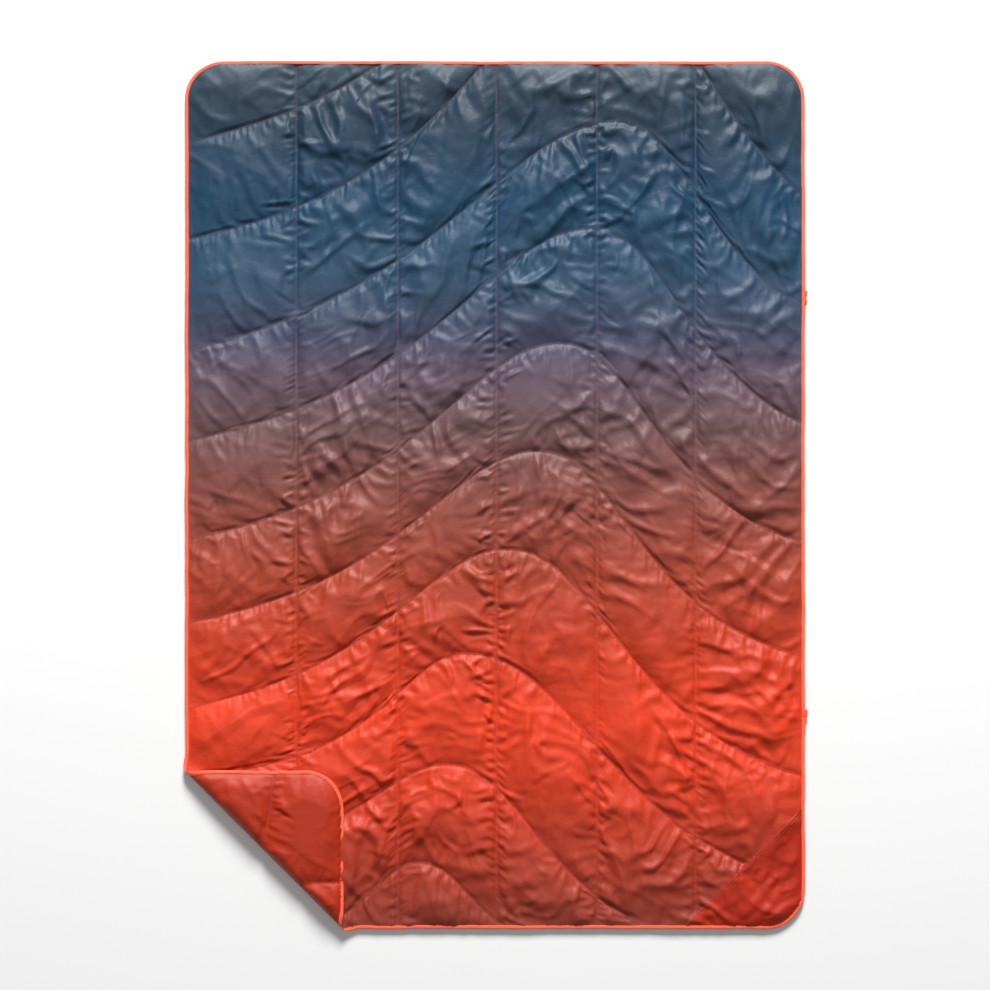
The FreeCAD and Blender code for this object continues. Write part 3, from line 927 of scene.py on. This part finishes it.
def cloth_relief(mat, bsdf, crumple, weave, weave_size):
    """Small crumples, sharp little creases and a plain weave as bump."""
    place = node(mat, "TexCoord").outputs["Object"]
    sharp = node(mat, "TexNoise", [("Vector", place)], noise_type="RIDGED_MULTIFRACTAL", Scale=16.0,
                 Detail=2.0, Roughness=0.5, Distortion=0.5)
    zeroth = node(mat, "Bump", [("Height", sharp.outputs["Fac"])], Strength=crumple, Distance=0.003)
    fine = node(mat, "TexNoise", [("Vector", place)], Scale=70.0, Detail=4.0, Roughness=0.55, Distortion=0.6)
    warp = node(mat, "TexWave", [("Vector", place)], bands_direction="X", Scale=weave_size)
    weft = node(mat, "TexWave", [("Vector", place)], bands_direction="Y", Scale=weave_size)
    threads = node(mat, "Math", [(0, warp.outputs["Fac"]), (1, weft.outputs["Fac"])], operation="MULTIPLY")
    first = node(mat, "Bump", [("Height", fine.outputs["Fac"]), ("Normal", zeroth.outputs["Normal"])],
                 Strength=crumple, Distance=0.003)
    second = node(mat, "Bump", [("Height", threads.outputs[0]), ("Normal", first.outputs["Normal"])],
                  Strength=weave, Distance=0.0002)
    mat.node_tree.links.new(second.outputs["Normal"], bsdf.inputs["Normal"])
    return fine.outputs["Fac"]


def varied(mat, bsdf, colour, rough, spread=0.08, scale=9.0):
    """Slight changes of shade and of gloss over the cloth. colour is a socket or a linear colour."""
    place = node(mat, "TexCoord").outputs["Object"]
    cloud = node(mat, "TexNoise", [("Vector", place)], Scale=scale, Detail=5.0, Roughness=0.6).outputs["Fac"]
    value = node(mat, "MapRange", [("Value", cloud)], **{"To Min": 1 - spread, "To Max": 1 + spread})
    shade = node(mat, "HueSaturation", [("Value", value.outputs[0])])
    if isinstance(colour, tuple):
        shade.inputs["Color"].default_value = colour
    else:
        mat.node_tree.links.new(colour, shade.inputs["Color"])
    mat.node_tree.links.new(shade.outputs["Color"], bsdf.inputs["Base Color"])
    gloss = node(mat, "MapRange", [("Value", cloud)], **{"To Min": rough - 0.05, "To Max": rough + 0.06})
    mat.node_tree.links.new(gloss.outputs[0], bsdf.inputs["Roughness"])


# The printed fade, as (y of the blanket, colour), from the foot to the head.
PRINT = (
    (-0.889, (139, 53, 39)), (-0.745, (165, 51, 28)), (-0.600, (199, 54, 23)), (-0.450, (214, 58, 24)),
    (-0.330, (190, 54, 23)), (-0.165, (158, 60, 38)), (-0.020, (129, 64, 54)), (0.130, (100, 69, 70)),
    (0.260, (87, 72, 88)), (0.330, (55, 61, 84)), (0.450, (38, 67, 91)), (0.600, (14, 56, 83)),
    (0.780, (29, 49, 67)), (0.889, (47, 63, 75)),
)


def printed_cloth(name, turned):
    """The printed front. On the folded corner the sheet's length runs along the frame's X instead."""
    mat, bsdf = shader(name, 0.4, Specular_IOR_Level=0.36, Sheen_Weight=0.03, Sheen_Roughness=0.4)
    place = node(mat, "SeparateXYZ", [("Vector", node(mat, "TexCoord").outputs["Object"])])
    y = place.outputs["Y"]
    if turned:
        y = node(mat, "Math", [(1, place.outputs["X"])], operation="SUBTRACT")
        y.inputs[0].default_value = FOLD_SUM
        y = y.outputs[0]
    share = node(mat, "MapRange", [("Value", y)], **{"From Min": -HALF_L, "From Max": HALF_L})
    colour = ramp(mat, share.outputs[0], [((at + HALF_L) / (2 * HALF_L), linear(rgb)) for at, rgb in PRINT])
    varied(mat, bsdf, colour, 0.50)
    cloth_relief(mat, bsdf, 0.25, 0.25, 500)
    return mat


def plain_cloth(name, rgb, rough=0.50, crumple=0.25, weave_size=500, spread=0.07):
    mat, bsdf = shader(name, rough, Specular_IOR_Level=0.36, Sheen_Weight=0.03, Sheen_Roughness=0.4)
    varied(mat, bsdf, linear(rgb), rough, spread)
    cloth_relief(mat, bsdf, crumple, 0.3, weave_size)
    return mat


def thread_material(name, rgb):
    """Spun thread: fine slanting strands."""
    mat, bsdf = shader(name, 0.6, Sheen_Weight=0.3)
    varied(mat, bsdf, linear(rgb), 0.6, 0.12, 60)
    place = node(mat, "TexCoord").outputs["Object"]
    place = node(mat, "Mapping", [("Vector", place)], Rotation=(0.3, 0.2, 0.6))
    strands = node(mat, "TexWave", [("Vector", place.outputs[0])], Scale=900.0, Distortion=1.0)
    bump = node(mat, "Bump", [("Height", strands.outputs["Fac"])], Strength=0.5, Distance=0.0002)
    mat.node_tree.links.new(bump.outputs["Normal"], bsdf.inputs["Normal"])
    return mat


def moulded_plastic(name, rgb):
    """Matt moulded plastic with a fine spark-eroded grain."""
    mat, bsdf = shader(name, 0.5, Specular_IOR_Level=0.5)
    place = node(mat, "TexCoord").outputs["Object"]
    varied(mat, bsdf, linear(rgb), 0.48, 0.15, 40)
    grain = node(mat, "TexVoronoi", [("Vector", place)], Scale=2600.0)
    bump = node(mat, "Bump", [("Height", grain.outputs["Distance"])], Strength=0.25, Distance=0.0002)
    mat.node_tree.links.new(bump.outputs["Normal"], bsdf.inputs["Normal"])
    return mat


def make_materials():
    return {
        "front": printed_cloth("printed_cloth", False),
        "front_turned": printed_cloth("printed_cloth_turned", True),
        "back": plain_cloth("back_cloth", (172, 43, 11)),
        "panel": plain_cloth("patch_cloth", (173, 37, 8), crumple=0.2),
        "binding": plain_cloth("binding_tape", (255, 100, 68), 0.55, 0.15, 380, 0.04),
        "batt": plain_cloth("batt_fibre", (232, 230, 224), 0.9, 0.8, 300),
        "quilt_thread": thread_material("quilt_thread", (110, 42, 42)),
        "binding_thread": thread_material("binding_thread", (255, 116, 84)),
        "panel_thread": thread_material("patch_thread", (192, 60, 40)),
        "tape": plain_cloth("woven_tape", (250, 84, 52), 0.6, 0.1, 420, 0.06),
        "plastic": moulded_plastic("clip_plastic", (250, 82, 50)),
        "floor": floor_material(),
    }


def floor_material():
    mat, bsdf = shader("floor", 0.9, Specular_IOR_Level=0.1)
    varied(mat, bsdf, linear((238, 238, 237)), 0.85, 0.004, 2)
    return mat


# ---- floor, light and camera
def make_floor(mats):
    half, below = 9.0, 0.0004
    floor = new_piece("floor", [(-half, -half, 0), (half, -half, 0), (half, half, 0), (-half, half, 0)],
                      [[0, 1, 2, 3]], mats["floor"])
    floor.location.z = -below


def area_light(name, place, target, size, power):
    lamp = bpy.data.lights.new(name, "AREA")
    lamp.size, lamp.energy = size, power
    obj = bpy.data.objects.new(name, lamp)
    bpy.context.scene.collection.objects.link(obj)
    obj.location = place
    obj.rotation_euler = (Vector(target) - Vector(place)).to_track_quat("-Z", "Y").to_euler()


def make_camera():
    """Straight above the blanket."""
    over_middle = 4.79
    camera = bpy.data.cameras.new("camera")
    camera.lens, camera.sensor_width = 85.0, 36.0
    obj = bpy.data.objects.new("camera", camera)
    obj.location = (0, 0, over_middle + MID)
    bpy.context.scene.collection.objects.link(obj)
    bpy.context.scene.camera = obj


def make_light():
    """A large lamp beyond the head, a faint one overhead, and a dim sky."""
    area_light("window", place=(0.3, 7.2, 4.6), target=(0, 0, 0), size=2.6, power=1350)
    area_light("overhead", place=(0, 0, 6.5), target=(0, 0, 0), size=4.0, power=80)
    world = bpy.data.worlds.new("world")
    bpy.context.scene.world = world
    world.use_nodes = True
    background = world.node_tree.nodes["Background"]
    background.inputs["Color"].default_value = (0.95, 0.97, 1.0, 1)
    background.inputs["Strength"].default_value = 0.14
    bpy.context.scene.view_settings.view_transform = "Standard"


# ---- the scene
def build():
    mats = make_materials()
    make_camera()
    make_light()
    make_floor(mats)
    front, held, row_wave, seam_columns = quilted(seed=3, seam=FRONT_SEAM_Z, rim=FRONT_RIM_Z, panel=True)
    back = quilted(seed=8, seam=BACK_SEAM_N, rim=BACK_RIM_N, panel=False)[0]
    front, back = front_heights(front), back_heights(back)
    make_binding(mats)
    make_shells(front, back, held, mats)
    make_panel(front, held, mats)
    make_batts(mats)
    make_quilt_stitches(front, back, held, row_wave, seam_columns, mats)
    make_panel_stitches(front, mats)
    make_loop(mats)
    for name, look in (("clip_body", "plastic"), ("clip_gate", "plastic"), ("clip_tape", "tape")):
        cad = frame["nodes"][name]
        cad.data.materials.clear()
        cad.data.materials.append(mats[look])


build()
bpy.context.view_layer.update()
